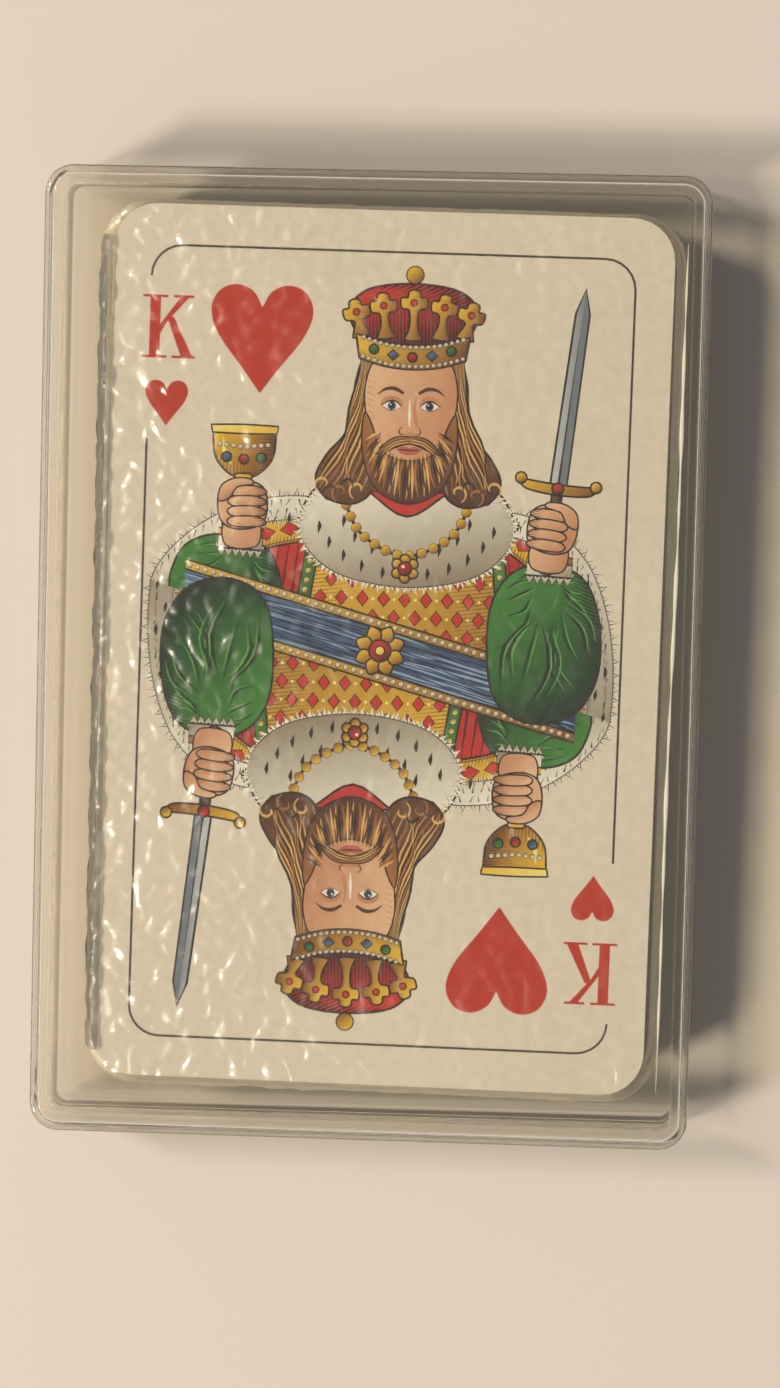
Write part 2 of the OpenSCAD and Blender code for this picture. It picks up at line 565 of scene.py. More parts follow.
def finStrip(name, seamZ, material):
    # the welded fin along the left side, with a slightly wavy outer edge
    s = filmSettings
    reach = deckSettings["length"] / 2 + s["slack"] - s["corner"]
    along = np.linspace(-reach, reach, s["finSteps"])
    halfW = deckSettings["width"] / 2 + alongDeck(s["sealedSlack"], along)
    ends = np.clip((reach - np.abs(along)) / s["finTaper"], 0, 1)
    inner = np.stack([-halfW + 0.05, along], 1)
    outer = np.stack([-halfW - s["fin"] * (0.8 + waves(along, s["finWaves"])) * np.sqrt(ends), along], 1)
    lift = waves(along, s["finLift"]) * ends
    rows = [toWorld(inner, seamZ), toWorld(outer, seamZ + lift),
            toWorld(outer, seamZ + lift + s["finStock"]), toWorld(inner, seamZ + s["finStock"])]
    return newPiece(name, np.vstack(rows), tubeFaces(len(rows), len(along)), material, smooth=True)


def weldHighlightBead(name):
    # a flattened bead that thins out to both ends, thickest where the film was drawn together; its pale
    # colour is a painted highlight along the film's right edge
    s = filmSettings
    place, height = s["weldAt"]
    along = np.linspace(*s["weldSpan"], s["weldSteps"])
    share = np.linspace(0, 1, len(along))
    half = s["weldHalf"] * np.sqrt(np.clip(np.minimum(share / 0.25, (1 - share) / 0.1), 0.03, 1))
    half = half * waves(along, s["weldWaves"], 0.62)
    middle = waves(along, s["weldWander"], place)
    rows = []
    for k in range(s["weldSides"]):
        a = 2 * math.pi * k / s["weldSides"]
        points = np.stack([middle + half * math.cos(a), along], 1)
        rows.append(toWorld(points, height + 0.6 * half * math.sin(a)))
    return newPiece(name, np.vstack(rows), tubeFaces(len(rows), len(along)), paleWeldHighlight(), smooth=True)


def shadeSealedLeftSide(piece, sealShade):
    piece.data.materials.append(sealShade)
    turn = math.radians(deckSettings["turn"])
    for polygon in piece.data.polygons:
        x = polygon.center.x / mm - deckMiddle[0]
        y = polygon.center.y / mm - deckMiddle[1]
        place = x * math.cos(turn) + y * math.sin(turn)
        # faces of the sealed strip on the left get the grey painted shade
        if place < alongDeck(filmSettings["sealShadeFrom"], y) and abs(y) < filmSettings["sealShadeReach"]:
            polygon.material_index = 1


def buildFilm():
    # the second material is the sealed film's grey painted shade
    material, sealShade = clearFilm(), sealedFilmShade()
    s = filmSettings
    upperLow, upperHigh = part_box("wrap_upper")
    lowerLow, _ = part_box("wrap_lower")
    seamZ = upperLow.z / mm
    upper = filmSkin("film_upper", s["topStep"], upperHigh.z / mm - s["skin"], seamZ, material)
    lower = filmSkin("film_lower", s["bottomStep"], lowerLow.z / mm + s["skin"], seamZ, material)
    crinkle(upper, material)
    shadeSealedLeftSide(upper, sealShade)
    lower.data.polygons.foreach_set("use_smooth", [True] * len(lower.data.polygons))
    # the fins carry the same grey painted shade
    upperFin, lowerFin = (finStrip(name, seamZ + height, sealShade) for name, height in
                          zip(("film_fin_upper", "film_fin_lower"), s["finHeights"]))
    # the weld bead's pale colour is a painted highlight
    weldHighlight = weldHighlightBead("film_weld_highlight")
    seat(upper, "wrap_upper", "film", "wrap_upper")
    seat(lower, "pack", "film", "wrap_lower")
    for trim, body in ((upperFin, "wrap_upper"), (lowerFin, "pack"), (weldHighlight, "wrap_upper")):
        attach(trim, body)
    top = max(v.co.z for v in upper.data.vertices) / mm
    print("film built:", len(upper.data.polygons), "faces, top at", round(top, 2), "mm")


buildFilm()


# Inks and the drawing tools for the card faces, in card millimetres with the middle at the origin

inks = {name: np.array(linear(*rgb)) for name, rgb in {
    "paper": (232, 220, 203),
    "edge": (226, 214, 196),
    "line": (34, 22, 16),
    "frame": (58, 54, 48),
    "red": (194, 48, 16),
    "black": (44, 42, 46),
    "gold": (240, 192, 48),
    "goldLight": (255, 234, 132),
    "goldDark": (132, 76, 14),
    "crimson": (206, 46, 30),
    "crimsonDark": (96, 16, 14),
    "crimsonLight": (232, 104, 70),
    "green": (66, 136, 46),
    "greenDark": (18, 54, 22),
    "greenLight": (106, 168, 84),
    "blue": (92, 122, 164),
    "blueDark": (30, 44, 78),
    "blueLight": (146, 174, 208),
    "ermine": (250, 243, 230),
    "ermineDark": (150, 136, 116),
    "skin": (240, 194, 156),
    "skinDark": (204, 140, 100),
    "lip": (190, 92, 76),
    "hair": (172, 112, 52),
    "hairDark": (78, 40, 16),
    "hairLight": (228, 180, 106),
    "steel": (200, 206, 210),
    "steelDark": (120, 128, 140),
    "backInk": (58, 88, 140),
}.items()}
lineWeight = 1.45


def curve(points, closed=True, steps=5):
    # smooth line through the points; a third value marks a sharp corner
    spots = np.array([p[:2] for p in points], float)
    sharp = np.array([len(p) == 3 for p in points])
    if not closed:
        sharp[0] = sharp[-1] = True
    before, after = np.roll(spots, 1, 0), np.roll(spots, -1, 0)
    through = (after - before) / 2
    leave = np.where(sharp[:, None], after - spots, through)
    arrive = np.roll(np.where(sharp[:, None], spots - before, through), -1, 0)
    t = np.linspace(0, 1, steps, endpoint=False)[:, None, None]
    line = ((2 * t ** 3 - 3 * t ** 2 + 1) * spots + (t ** 3 - 2 * t ** 2 + t) * leave
            + (3 * t ** 2 - 2 * t ** 3) * after + (t ** 3 - t ** 2) * arrive)
    line = line.transpose(1, 0, 2)
    if closed:
        return line.reshape(-1, 2)
    return np.vstack([line[:-1].reshape(-1, 2), spots[-1:]])


def openCurve(points, steps=5):
    return curve(points, False, steps)


def mirrored(points):
    # closes a half outline drawn on the right with its mirror image
    points = [tuple(p) for p in points]
    return points + [(-p[0], *p[1:]) for p in reversed(points) if abs(p[0]) > 1e-6]


def disc(x, y, radius, steps=14):
    a = np.linspace(0, 2 * math.pi, steps, endpoint=False)
    return np.stack([x + radius * np.cos(a), y + radius * np.sin(a)], 1)


def lozenge(x, y, halfW, halfL):
    return moved([(halfW, 0), (0, halfL), (-halfW, 0), (0, -halfL)], x, y)


def across(way):
    return np.array([-way[1], way[0]])


def stroke(line, widths):
    line = np.asarray(line, float)
    along = np.gradient(line, axis=0)
    along /= np.linalg.norm(along, axis=1)[:, None] + 1e-9
    side = np.stack([-along[:, 1], along[:, 0]], 1)
    share = np.linspace(0, 1, len(line))
    half = np.interp(share, np.linspace(0, 1, len(widths)), widths)[:, None] / 2
    return np.vstack([line + side * half, (line - side * half)[::-1]])


def band(line, width):
    return stroke(line, [width, width])


def grow(points, amount):
    along = np.roll(points, -1, 0) - np.roll(points, 1, 0)
    along /= np.linalg.norm(along, axis=1)[:, None] + 1e-9
    after = np.roll(points, -1, 0)
    area = np.sum(points[:, 0] * after[:, 1] - after[:, 0] * points[:, 1])
    return points + amount * (1 if area > 0 else -1) * np.stack([along[:, 1], -along[:, 0]], 1)


def moved(points, x=0.0, y=0.0, turn=0.0, scale=1.0):
    points = np.asarray(points, float) * scale
    a = math.radians(turn)
    return np.stack([points[:, 0] * math.cos(a) - points[:, 1] * math.sin(a) + x,
                     points[:, 0] * math.sin(a) + points[:, 1] * math.cos(a) + y], 1)


def ink(sheet, points, colour, dark=None, angle=0.0):
    # one flat or graded area; the last value is set where an area keeps to one half of a double figure
    sheet.append((np.asarray(points, float), inks[colour], inks[dark or colour], math.radians(angle), 0))


def pen(sheet, line, widths, colour):
    ink(sheet, stroke(line, widths), colour)


def outlined(sheet, points, colour, dark=None, angle=-60.0, line=0.13):
    points = np.asarray(points, float)
    line *= lineWeight
    ink(sheet, grow(points, line / 2), "line")
    ink(sheet, grow(points, -line / 2), colour, dark, angle)


def shaded(sheet, points, colour, angle=-60.0, line=0.13):
    outlined(sheet, points, colour, colour + "Dark", angle, line)


def hatch(sheet, points, colour, angle, gap, width, reach):
    # engraver's lines that run in from one edge of an area and taper off
    flat = moved(points, turn=-angle)
    after = np.roll(flat, -1, 0)
    row = flat[:, 1].min() + gap
    while row < flat[:, 1].max():
        cross = (flat[:, 1] <= row) != (after[:, 1] <= row)
        share = (row - flat[cross, 1]) / (after[cross, 1] - flat[cross, 1])
        xs = np.sort(flat[cross, 0] + share * (after[cross, 0] - flat[cross, 0]))
        for first, end in zip(xs[::2], xs[1::2]):
            last = first + (end - first) * reach
            if last - first > 0.3:
                sliver = [(first, row - width / 2), (last, row), (first, row + width / 2)]
                ink(sheet, moved(sliver, turn=angle), colour)
        row += gap


def engrave(sheet, points, dark, angle, reach=0.4, gap=0.34):
    # shade from one side: long strokes in the dark tone, and short ones in the line colour between them
    points = grow(np.asarray(points, float), -0.1)
    hatch(sheet, points, dark, angle, gap, gap * 0.75, reach)
    hatch(sheet, points, "line", angle, gap, gap * 0.5, reach * 0.5)


def alongLine(line, gap):
    # evenly spaced points on a line, each with its direction
    line = np.asarray(line, float)
    steps = np.diff(line, axis=0)
    lengths = np.concatenate([[0], np.cumsum(np.linalg.norm(steps, axis=1))])
    places = []
    for at in np.arange(gap / 2, lengths[-1], gap):
        k = min(np.searchsorted(lengths, at, side="right") - 1, len(steps) - 1)
        direction = steps[k] / (np.linalg.norm(steps[k]) + 1e-9)
        places.append((line[k] + direction * (at - lengths[k]), direction))
    return places


def beads(sheet, line, radius, gap, colour="goldLight", dark="goldDark"):
    for spot, _ in alongLine(line, gap):
        ink(sheet, disc(*spot, radius + 0.06, 7), "line")
        ink(sheet, disc(*spot, radius, 7), colour, dark, -60)


# Suit signs and index characters

suitHalves = {
    "hearts": [(0, -5.6, 1), (1.9, -3.0), (4.4, 0.3), (5.3, 2.9), (4.5, 4.9), (2.7, 5.6), (0.95, 4.9),
               (0, 3.3, 1)],
    "diamonds": [(0, -5.8, 1), (2.0, -2.7), (4.3, 0, 1), (2.0, 2.7), (0, 5.8, 1)],
    "spades": [(0, 5.8, 1), (1.7, 3.5), (4.2, 0.9), (5.0, -1.3), (4.1, -3.0), (2.4, -3.2), (0.7, -2.0, 1),
               (1.2, -4.2), (2.4, -5.6, 1), (0, -5.6)],
}
clubStem = [(0.55, -0.6, 1), (1.0, -3.6), (2.3, -5.5, 1), (0, -5.5)]
drawnSize = 11.2  # height at which the signs are drawn


def suitColour(suit):
    return "red" if suit in ("hearts", "diamonds") else "black"


def suitSign(sheet, suit, x, y, size, turn=0):
    if suit == "clubs":
        parts = [disc(*leaf, 2.6, 20) for leaf in ((0, 2.9), (-2.75, -1.2), (2.75, -1.2))]
        parts.append(curve(mirrored(clubStem), steps=4))
    else:
        parts = [curve(mirrored(suitHalves[suit]), steps=6)]
    for part in parts:
        ink(sheet, moved(part, x, y, turn, size / drawnSize), suitColour(suit))


kingLetter = [
    [(-2.7, 3.25), (-2.7, 3.0), (-0.1, 3.0), (-0.1, 3.25)],
    [(-2.7, -3.25), (-0.1, -3.25), (-0.1, -3.0), (-2.7, -3.0)],
    [(-1.95, -3.1), (-0.85, -3.1), (-0.85, 3.1), (-1.95, 3.1)],
    [(0.5, 3.25), (0.5, 3.0), (2.6, 3.0), (2.6, 3.25)],
    [(1.2, 3.05), (2.1, 3.05), (-0.1, 0.55), (-0.85, -0.75), (-0.85, 0.25)],
    [(-0.15, 0.95), (1.35, -3.05), (2.55, -3.05), (0.55, 1.0)],
    [(0.4, -3.25), (2.85, -3.25), (2.85, -3.0), (0.4, -3.0)],
]
plainLetters = {
    "A": [[(-2.2, -3.2), (0, 3.2), (2.2, -3.2)], [(-1.4, -1.0), (1.4, -1.0)]],
    "Q": [[(0, 3.1), (1.7, 2.3), (2.2, 0), (1.7, -2.3), (0, -3.1), (-1.7, -2.3), (-2.2, 0), (-1.7, 2.3),
           (0, 3.1)], [(0.4, -1.6), (2.4, -3.4)]],
    "J": [[(1.2, 3.2), (1.2, -1.2), (0.6, -2.7), (-0.6, -3.1), (-1.8, -2.3)], [(-0.2, 3.1), (2.4, 3.1)]],
    "7": [[(-2.0, 3.0), (2.0, 3.0), (0.4, 0), (-0.6, -3.2)]],
    "8": [[(0, 0.3), (1.5, 1.2), (1.4, 2.6), (0, 3.1), (-1.4, 2.6), (-1.5, 1.2), (0, 0.3), (1.9, -0.9),
           (1.7, -2.5), (0, -3.1), (-1.7, -2.5), (-1.9, -0.9), (0, 0.3)]],
    "9": [[(1.8, 1.2), (0.9, -0.2), (-0.9, -0.1), (-1.9, 1.3), (-1.2, 2.8), (0.3, 3.1), (1.6, 2.4),
           (1.9, 0.8), (1.4, -1.6), (-0.2, -3.1)]],
    "1": [[(-1.0, 2.2), (0, 3.1), (0, -3.2)]],
    "0": [[(0, 3.1), (1.3, 2.2), (1.6, 0), (1.3, -2.2), (0, -3.1), (-1.3, -2.2), (-1.6, 0), (-1.3, 2.2),
           (0, 3.1)]],
}
letterGap = 2.9
letterWeight = 0.75


def indexSign(sheet, text, suit, x, y, turn=0):
    if text == "K":
        for part in kingLetter:
            ink(sheet, moved(part, x, y, turn), suitColour(suit))
        return
    for place, letter in enumerate(text):
        shift = (place - (len(text) - 1) / 2) * letterGap
        for line in plainLetters[letter]:
            line = openCurve(line, 3) if letter not in "A7" else line
            spot = moved(line, shift, 0, 0, 0.95 if len(text) == 1 else 0.8)
            ink(sheet, moved(band(spot, letterWeight), x, y, turn), suitColour(suit))


# Double-ended court figures, drawn as one upper half from the back layer to the front

figureSettings = {
    "headX": 2.3,
    "sashTurn": -15.0,  # degrees
    "sashHalf": 2.7,
    "sashReach": 20.5,
    "sashStrokes": 190,
    "cutReach": 26,  # the cut between the two halves runs this far out
    "strandsPerSide": 27,
    "beardStrands": 46,
    "lozengeGap": 2.5,
}
headX = figureSettings["headX"]
courtCloths = {  # mantle, sleeves and sash
    "hearts": ("crimson", "green", "blue"),
    "diamonds": ("blue", "crimson", "green"),
    "spades": ("green", "blue", "crimson"),
    "clubs": ("crimson", "blue", "green"),
}


def atHead(points, flip=1):
    return [(headX + flip * p[0], *p[1:]) for p in points]


def headShape(half):
    return curve(atHead(mirrored(half)))


def headLine(points, steps=5):
    return openCurve(atHead(points), steps)


def fringe(sheet, line, length, gap, colour, width):
    # short hairs that stand off a line, uneven in length and lean
    for k, (spot, way) in enumerate(alongLine(line, gap)):
        lean = way * 0.6 * math.sin(k * 2.4)
        tip = spot + (across(way) + lean) * length * (0.75 + 0.35 * math.sin(k * 1.7))
        ink(sheet, [spot + way * width / 2, tip, spot - way * width / 2], colour)


def fur(sheet, line, width, tailGap):
    border = band(line, width)
    shaded(sheet, border, "ermine", -70, 0.1)
    for rim in (border[:len(line)], border[len(line):]):
        fringe(sheet, rim, 0.8, 0.5, "ermine", 0.36)
        fringe(sheet, rim, 0.9, 0.5, "line", 0.16)
    for k, (spot, way) in enumerate(alongLine(line, 0.3)):
        start = spot + across(way) * width * 0.4 * math.sin(k * 2.1)
        tip = start + way * 0.35 * math.sin(k * 1.3) - np.array([0.1, 0.75])
        pen(sheet, [start, tip], [0.2, 0.03], "line" if k % 4 == 0 else "ermineDark")
    for k, (spot, way) in enumerate(alongLine(line, tailGap)):
        start = spot + across(way) * (0.2 if k % 2 else -0.2) * width
        tip = start - np.array([0.15, 1.1])
        pen(sheet, [start, (start + tip) / 2, tip], [0.1, 0.42, 0.04], "line")


def drawMantle(sheet, cloth, fine):
    leftEdge = [(-6.4, 14.4), (-10.0, 14.5), (-14.2, 13.7), (-18.4, 11.5), (-21.4, 8.8), (-22.9, 6.14),
                (-23.2, 2)]
    rightEdge = [(10.4, 13.6), (14.0, 13.4), (17.4, 11.9), (20.4, 8.8), (22.2, 4.2), (23.0, -1),
                 (22.9, -6.14), (22.2, -10)]
    shape = curve([(-2.5, 16.4)] + leftEdge + [(-22, -14, 1), (21, -20, 1)] + rightEdge[::-1] + [(7.5, 16.4)])
    shaded(sheet, shape, cloth, -75, 0.16)
    if fine:
        folds = 40
        for k in range(folds):
            share = k / (folds - 1)
            x = -20 + 40 * share
            top = 14.5 - 9 * abs(share - 0.52) ** 1.4 * 2.2
            fold = openCurve([(x, top), (x * 1.06, top - 5), (x * 1.1 + 0.4 * math.sin(k), top - 12)])
            pen(sheet, fold, [0.06, 0.3, 0.05], "line" if k % 3 == 0 else cloth + "Dark")
    for trim in ([(-8.6, 12.6), (-13.2, 11.4), (-17.0, 9.0), (-19.6, 5.6), (-20.4, 0)],
                 [(13.4, 12.2), (16.4, 9.8), (18.6, 6.0), (19.8, 1.4), (20.2, -4), (19.8, -9)]):
        trim = openCurve(trim)
        shaded(sheet, band(trim, 3.0), "gold", -80, 0.16)
        if fine:
            edges = band(trim, 2.4)
            for edge in (edges[:len(trim)], edges[len(trim):]):
                ink(sheet, band(edge, 0.14), "goldDark")
            hatch(sheet, band(trim, 2.8), "goldDark", 78, 0.34, 0.14, 0.42)
        for spot, way in alongLine(trim, figureSettings["lozengeGap"]):
            side = across(way) * 0.7
            outlined(sheet, [spot + way, spot + side, spot - way, spot - side], cloth, None, 0, 0.1)
    if fine:
        for edge in (leftEdge, rightEdge):
            fur(sheet, openCurve(edge), 2.5, 2.3)


def drawTunic(sheet, cloth, fine):
    shape = [(-7.6, 11.5), (12.2, 11.5), (14.0, -8), (-9.4, -2)]
    shaded(sheet, shape, "gold", -60, 0.16)
    if fine:
        hatch(sheet, shape, "goldDark", 8, 0.4, 0.12, 0.3)
        hatch(sheet, shape, "goldDark", 188, 0.4, 0.16, 0.34)
        for k in range(9):
            for j in range(6):
                x, y = -6.4 + 2.2 * k + (j % 2) * 1.1, 9.2 - 1.9 * j
                outlined(sheet, lozenge(x, y, 0.62, 0.8), cloth, None, 0, 0.1)
                ink(sheet, disc(x + 1.1, y, 0.17, 6), "goldLight")
    for edge in ([(-7.2, 11.5), (-9.2, -2)], [(11.8, 11.5), (13.8, -8)]):
        shaded(sheet, band(edge, 1.3), "green", -60, 0.14)
        beads(sheet, edge, 0.3, 1.0)


def drawCollar(sheet, fine):
    hem = [(-10.0, 10.0), (-6.4, 7.6), (0, 6.6), (6.4, 7.6), (10.0, 10.0)]
    shape = curve(atHead([(-9.2, 16.9), (-11.2, 13.2)] + hem
                         + [(11.2, 13.2), (9.2, 16.9), (5.0, 17.0), (0, 14.0), (-5.0, 17.0)]))
    shaded(sheet, shape, "ermine", -80, 0.16)
    if fine:
        rim = headLine([(-9.6, 16.2), (-11.1, 13.2)] + hem + [(11.1, 13.2), (9.6, 16.2)])
        fringe(sheet, rim[::-1], 0.75, 0.34, "ermine", 0.34)
        fringe(sheet, rim[::-1], 0.8, 0.5, "line", 0.09)
        fringe(sheet, rim, 0.9, 0.62, "ermineDark", 0.1)
    for level, count in ((0.86, 11), (0.62, 8)):
        for k in range(count):
            a = math.radians(200 + 140 * k / (count - 1))
            x = headX + 11.2 * level * math.cos(a)
            y = 15.2 + 8.4 * level * math.sin(a)
            pen(sheet, [(x, y + 0.55), (x + 0.05, y), (x - 0.08, y - 0.75)], [0.1, 0.46, 0.05], "line")
    chain = headLine([(-6.6, 15.6), (-4.6, 12.0), (0, 9.9), (4.6, 12.0), (6.6, 15.6)], 8)
    ink(sheet, band(chain, 0.34), "line")
    beads(sheet, chain, 0.52, 1.3, "gold")
    x, y = headX, 8.6
    for k in range(6):
        a = math.radians(60 * k + 30)
        shaded(sheet, disc(x + 0.95 * math.cos(a), y + 0.95 * math.sin(a), 0.55, 10), "gold")
    shaded(sheet, disc(x, y, 0.72, 12), "crimson")
    ink(sheet, disc(x - 0.2, y + 0.22, 0.18, 6), "ermine")


def drawHair(sheet, fine):
    shape = headShape([(0, 31), (4.4, 30.8), (5.7, 28.2), (6.0, 25.2), (6.7, 22.4), (8.5, 20.2), (9.6, 17.8),
                       (8.6, 15.8), (6.2, 15.1), (4.3, 15.8), (2.6, 18), (0, 18)])
    shaded(sheet, shape, "hair", -80, 0.16)
    if not fine:
        return
    count = figureSettings["strandsPerSide"]
    tones = ("hairDark", "hairLight", "line", "hair", "hairDark", "hairLight")
    for flip in (1, -1):
        for k in range(count):
            spread = k / (count - 1)
            s = np.linspace(0, 1, 11)
            x = (4.5 + 0.8 * spread) * (1 - s ** 1.6) + (3.4 + 5.9 * spread) * s ** 1.6
            x = x + 0.6 * np.sin(2 * math.pi * (1.9 * s + 0.07 * k + 0.2 * flip)) * s
            y = 30.6 - (14.7 - 1.1 * math.sin(2.2 * spread + 0.4)) * s
            strand = np.stack([headX + flip * x, y], 1)
            pen(sheet, strand, [0.08, 0.28, 0.22, 0.04], tones[k % len(tones)])
        for k in range(5):
            x, y = headX + flip * (5.2 + 0.9 * k), 16.6 + 0.5 * math.sin(k * 1.9)
            a = np.linspace(0.4, 5.2, 14) * flip
            radius = np.linspace(1.0, 0.3, 14)
            curl = np.stack([x + radius * np.sin(a), y - radius * np.cos(a)], 1)
            pen(sheet, curl, [0.1, 0.3, 0.08], tones[(k + 1) % len(tones)])


def drawEye(sheet, flip):
    def spots(points):
        return atHead(points, flip)
    socket = [(0.85, 25.55), (1.4, 26.35), (2.6, 26.3), (3.1, 25.5), (2.0, 24.85)]
    ink(sheet, curve(spots(socket)), "skinDark")
    white = [(0.98, 25.35, 1), (1.6, 25.83), (2.3, 25.83), (2.95, 25.4, 1), (2.2, 25.0), (1.5, 25.0)]
    ink(sheet, curve(spots(white)), "ermine")
    x, y = headX + flip * 1.95, 25.42
    ink(sheet, disc(x, y, 0.43, 12), "blueDark")
    ink(sheet, disc(x, y, 0.2, 8), "line")
    ink(sheet, disc(x - 0.14, 25.56, 0.1, 6), "ermine")
    for points, widths, colour in (
            ([(0.9, 25.3), (1.55, 25.86), (2.3, 25.88), (3.1, 25.36)], [0.08, 0.22, 0.06], "line"),
            ([(1.1, 25.2), (2.0, 24.94), (2.9, 25.3)], [0.04, 0.09, 0.04], "hairDark"),
            ([(0.75, 26.7), (1.7, 27.2), (2.7, 27.1), (3.5, 26.5)], [0.28, 0.42, 0.3, 0.06], "hairDark"),
            ([(0.75, 23.3), (1.1, 22.9), (0.95, 22.5), (0.5, 22.55)], [0.05, 0.16, 0.05], "hairDark")):
        pen(sheet, openCurve(spots(points)), widths, colour)


def drawFace(sheet, bearded, fine):
    shape = headShape([(0, 30.6), (3.6, 30.2), (4.75, 27.6), (4.65, 24.6), (4.1, 21.6), (2.9, 19.0),
                       (1.2, 17.6), (0, 17.4)])
    shaded(sheet, shape, "skin", -20, 0.12)
    if fine:
        for k in range(9):
            y = 28.6 - 0.62 * k
            right = [(4.5, y), (3.9, y - 0.25), (3.2 + 0.2 * (k % 3), y - 0.35)]
            left = [(-4.55, y), (-4.1, y - 0.2), (-3.7, y - 0.25)]
            pen(sheet, atHead(right), [0.14, 0.1, 0.02], "skinDark")
            pen(sheet, atHead(left), [0.1, 0.07, 0.02], "skinDark")
    for flip in (1, -1):
        drawEye(sheet, flip)
    bridge = headLine([(0.55, 26.4), (0.42, 25.2), (0.62, 23.8), (0.95, 23.0)])
    pen(sheet, bridge, [0.16, 0.3, 0.4, 0.06], "skinDark")
    pen(sheet, atHead([(-0.12, 26.0), (-0.1, 24.5), (-0.05, 23.3)]), [0.1, 0.34, 0.1], "ermine")
    ink(sheet, curve(atHead([(-0.7, 22.55), (0, 22.3), (0.7, 22.55), (0, 22.72)])), "skinDark")
    lips = curve(atHead([(-1.35, 20.95, 1), (-0.5, 21.25), (0, 21.12), (0.5, 21.25), (1.35, 20.95, 1),
                         (0.6, 20.42), (-0.6, 20.42)]))
    if bearded:
        drawBeard(sheet, fine)
    ink(sheet, lips, "lip")
    pen(sheet, headLine([(-1.35, 20.95), (0, 20.86), (1.35, 20.95)]), [0.05, 0.16, 0.05], "line")
    if bearded:
        drawMoustache(sheet, fine)


def drawBeard(sheet, fine):
    shape = headShape([(0, 19.75), (2.0, 20.2), (3.2, 21.3), (3.9, 23.3), (4.75, 24.6), (4.95, 21.6),
                       (4.3, 18.4), (2.8, 16.3), (0, 15.3)])
    shaded(sheet, shape, "hair", -80, 0.12)
    if not fine:
        return
    count = figureSettings["beardStrands"]
    tones = ("hairLight", "hairDark", "hair", "line", "hairLight", "hairDark")
    for k in range(count):
        share = k / (count - 1) * 2 - 1
        a = share * math.radians(98)
        start = (headX + 3.0 * math.sin(a), 22.0 - 2.0 * math.cos(a) + 0.5 * abs(share))
        end = (headX + 4.55 * math.sin(a * 0.92), 21.8 - 6.0 * math.cos(a * 0.92))
        middle = ((start[0] + end[0]) / 2 + 0.25 * math.sin(k * 2.1), (start[1] + end[1]) / 2)
        pen(sheet, openCurve([start, middle, end]), [0.06, 0.3, 0.05], tones[k % len(tones)])


def drawMoustache(sheet, fine):
    shape = headShape([(0, 22.25), (1.1, 22.25), (2.3, 21.7), (3.5, 20.3, 1), (2.2, 20.75), (1.0, 21.25),
                       (0, 21.5)])
    shaded(sheet, shape, "hair", -80, 0.1)
    if fine:
        for flip in (1, -1):
            for k in range(5):
                y = 22.1 - 0.14 * k
                line = [(0.15, y), (1.4, y - 0.3), (2.6 + 0.12 * k, y - 1.05 - 0.1 * k)]
                tone = "hairLight" if k % 2 else "hairDark"
                pen(sheet, openCurve(atHead(line, flip)), [0.05, 0.16, 0.03], tone)


def drawCrown(sheet, cloth, fine):
    cap = headShape([(0, 31.5), (5.5, 32.0, 1), (6.7, 35.0), (4.8, 37.3), (0, 38.0)])
    shaded(sheet, cap, cloth, -70, 0.16)
    if fine:
        engrave(sheet, cap, cloth + "Dark", 92, 0.75, 0.36)
        engrave(sheet, cap, cloth + "Dark", 205, 0.3, 0.36)
    ink(sheet, disc(headX, 38.9, 0.98), "line")
    ink(sheet, disc(headX, 38.9, 0.85), "gold", "goldDark", -50)
    for x, lean, tall in ((-5.3, 14, 4.0), (5.3, -14, 4.0), (-2.8, 6, 4.8), (2.8, -6, 4.8), (0, 0, 5.3)):
        place = (headX + x, 32.1 + 0.05 * abs(x), lean)
        leaf = curve(mirrored([(0, 0), (0.95, 0.1, 1), (0.45, 1.4), (0.5, tall - 2.2), (1.3, tall - 1.9),
                               (1.35, tall - 0.9), (0.7, tall - 0.8), (0.55, tall - 0.2), (0, tall)]))
        leaf = moved(leaf, *place)
        shaded(sheet, leaf, "gold", -30, 0.14)
        if fine:
            hatch(sheet, leaf, "goldDark", 184, 0.24, 0.16, 0.45)
        jewel = moved([(0, tall - 1.35)], *place)[0]
        outlined(sheet, disc(*jewel, 0.36, 8), cloth, None, 0, 0.1)
    ring = curve(atHead([(-5.5, 30.2, 1), (-2.8, 29.45), (0, 29.2), (2.8, 29.45), (5.5, 30.2, 1),
                         (5.9, 32.7, 1), (3, 31.95), (0, 31.7), (-3, 31.95), (-5.9, 32.7, 1)]))
    shaded(sheet, ring, "gold", -25, 0.16)
    if fine:
        hatch(sheet, ring, "goldDark", 88, 0.26, 0.16, 0.45)
        hatch(sheet, ring, "line", 183, 0.24, 0.1, 0.12)
    for rise in (0.28, 2.25):
        row = [(-5.4, 30.2), (-2.8, 29.45), (0, 29.2), (2.8, 29.45), (5.4, 30.2)]
        beads(sheet, headLine([(x, y + rise) for x, y in row]), 0.2, 0.62, "ermine", "ermineDark")
    for k, colour in enumerate(("green", "blue", "crimson", "blue", "green")):
        x = -4.0 + 2.0 * k
        y = 30.45 + 0.045 * x * x
        jewel = lozenge(headX + x, y, 0.62, 0.55) if k % 2 else disc(headX + x, y, 0.5, 10)
        shaded(sheet, jewel, colour)


